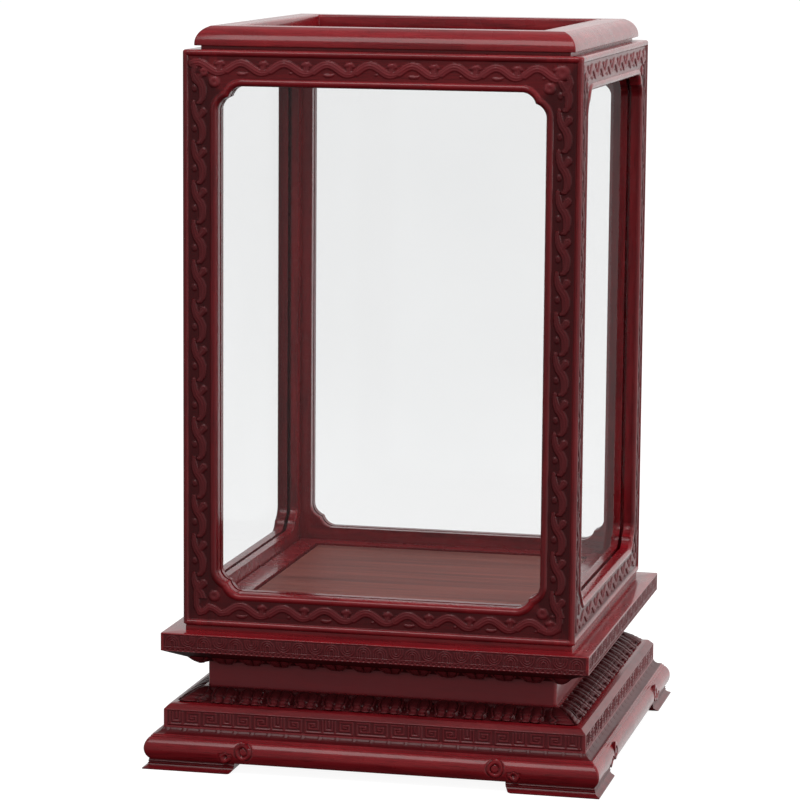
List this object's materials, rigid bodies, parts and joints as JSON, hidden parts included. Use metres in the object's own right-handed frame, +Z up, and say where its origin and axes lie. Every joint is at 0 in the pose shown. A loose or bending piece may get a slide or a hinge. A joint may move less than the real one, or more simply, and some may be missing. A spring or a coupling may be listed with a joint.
{
  "type": "glass display case",
  "caption": "Tall square glazed cover in a carved, lacquered hardwood frame, lifting off a stepped pedestal base with bracket feet.",
  "frame": {"origin": "centre of the rectangle that the four feet stand on, at floor level", "axes": "+Z up, the front faces -Y, +X to the right seen from the front"},
  "size_m": [0.349, 0.349, 0.556],
  "materials": {
    "lacquered_rosewood": "high-gloss dark red lacquer over rosewood",
    "floor_wood": "satin reddish-brown veneer",
    "carcass_wood": "plain planed hardwood, unlacquered",
    "clear_glass": "clear polished float glass",
    "screw_steel": "plain zinc-plated steel"
  },
  "bodies": {
    "base": {"foot_front_left": "lacquered_rosewood", "foot_front_right": "lacquered_rosewood", "foot_back_right": "lacquered_rosewood", "foot_back_left": "lacquered_rosewood", "apron_front": "lacquered_rosewood", "apron_right": "lacquered_rosewood", "apron_back": "lacquered_rosewood", "apron_left": "lacquered_rosewood", "plinth_rail_front": "lacquered_rosewood", "plinth_rail_right": "lacquered_rosewood", "plinth_rail_back": "lacquered_rosewood", "plinth_rail_left": "lacquered_rosewood", "lotus_lower_front": "lacquered_rosewood", "lotus_lower_right": "lacquered_rosewood", "lotus_lower_back": "lacquered_rosewood", "lotus_lower_left": "lacquered_rosewood", "waist_board_front": "lacquered_rosewood", "waist_board_right": "lacquered_rosewood", "waist_board_back": "lacquered_rosewood", "waist_board_left": "lacquered_rosewood", "lotus_upper_front": "lacquered_rosewood", "lotus_upper_right": "lacquered_rosewood", "lotus_upper_back": "lacquered_rosewood", "lotus_upper_left": "lacquered_rosewood", "deck_rail_front": "lacquered_rosewood", "deck_rail_right": "lacquered_rosewood", "deck_rail_back": "lacquered_rosewood", "deck_rail_left": "lacquered_rosewood", "deck_panel": "carcass_wood", "deck_braces": "carcass_wood", "corner_blocks": "carcass_wood", "bottom_board": "carcass_wood", "base_screws": "screw_steel", "locating_rim": "lacquered_rosewood", "floor_panel": "floor_wood"},
    "cover": {"post_front_left": "lacquered_rosewood", "post_front_right": "lacquered_rosewood", "post_back_right": "lacquered_rosewood", "post_back_left": "lacquered_rosewood", "rail_bottom_front": "lacquered_rosewood", "rail_bottom_right": "lacquered_rosewood", "rail_bottom_back": "lacquered_rosewood", "rail_bottom_left": "lacquered_rosewood", "rail_top_front": "lacquered_rosewood", "rail_top_right": "lacquered_rosewood", "rail_top_back": "lacquered_rosewood", "rail_top_left": "lacquered_rosewood", "crown_front": "lacquered_rosewood", "crown_right": "lacquered_rosewood", "crown_back": "lacquered_rosewood", "crown_left": "lacquered_rosewood", "glass_front": "clear_glass", "glass_right": "clear_glass", "glass_back": "clear_glass", "glass_left": "clear_glass", "glass_top": "clear_glass", "glazing_beads_upright": "lacquered_rosewood", "glazing_beads_level": "lacquered_rosewood", "window_spandrels": "lacquered_rosewood"}
  },
  "joints": [
    {"name": "cover_lift", "type": "slide", "parent": "base", "child": "cover", "axis": [0, 0, 1], "range_m": [0, 0.45]}
  ]
}
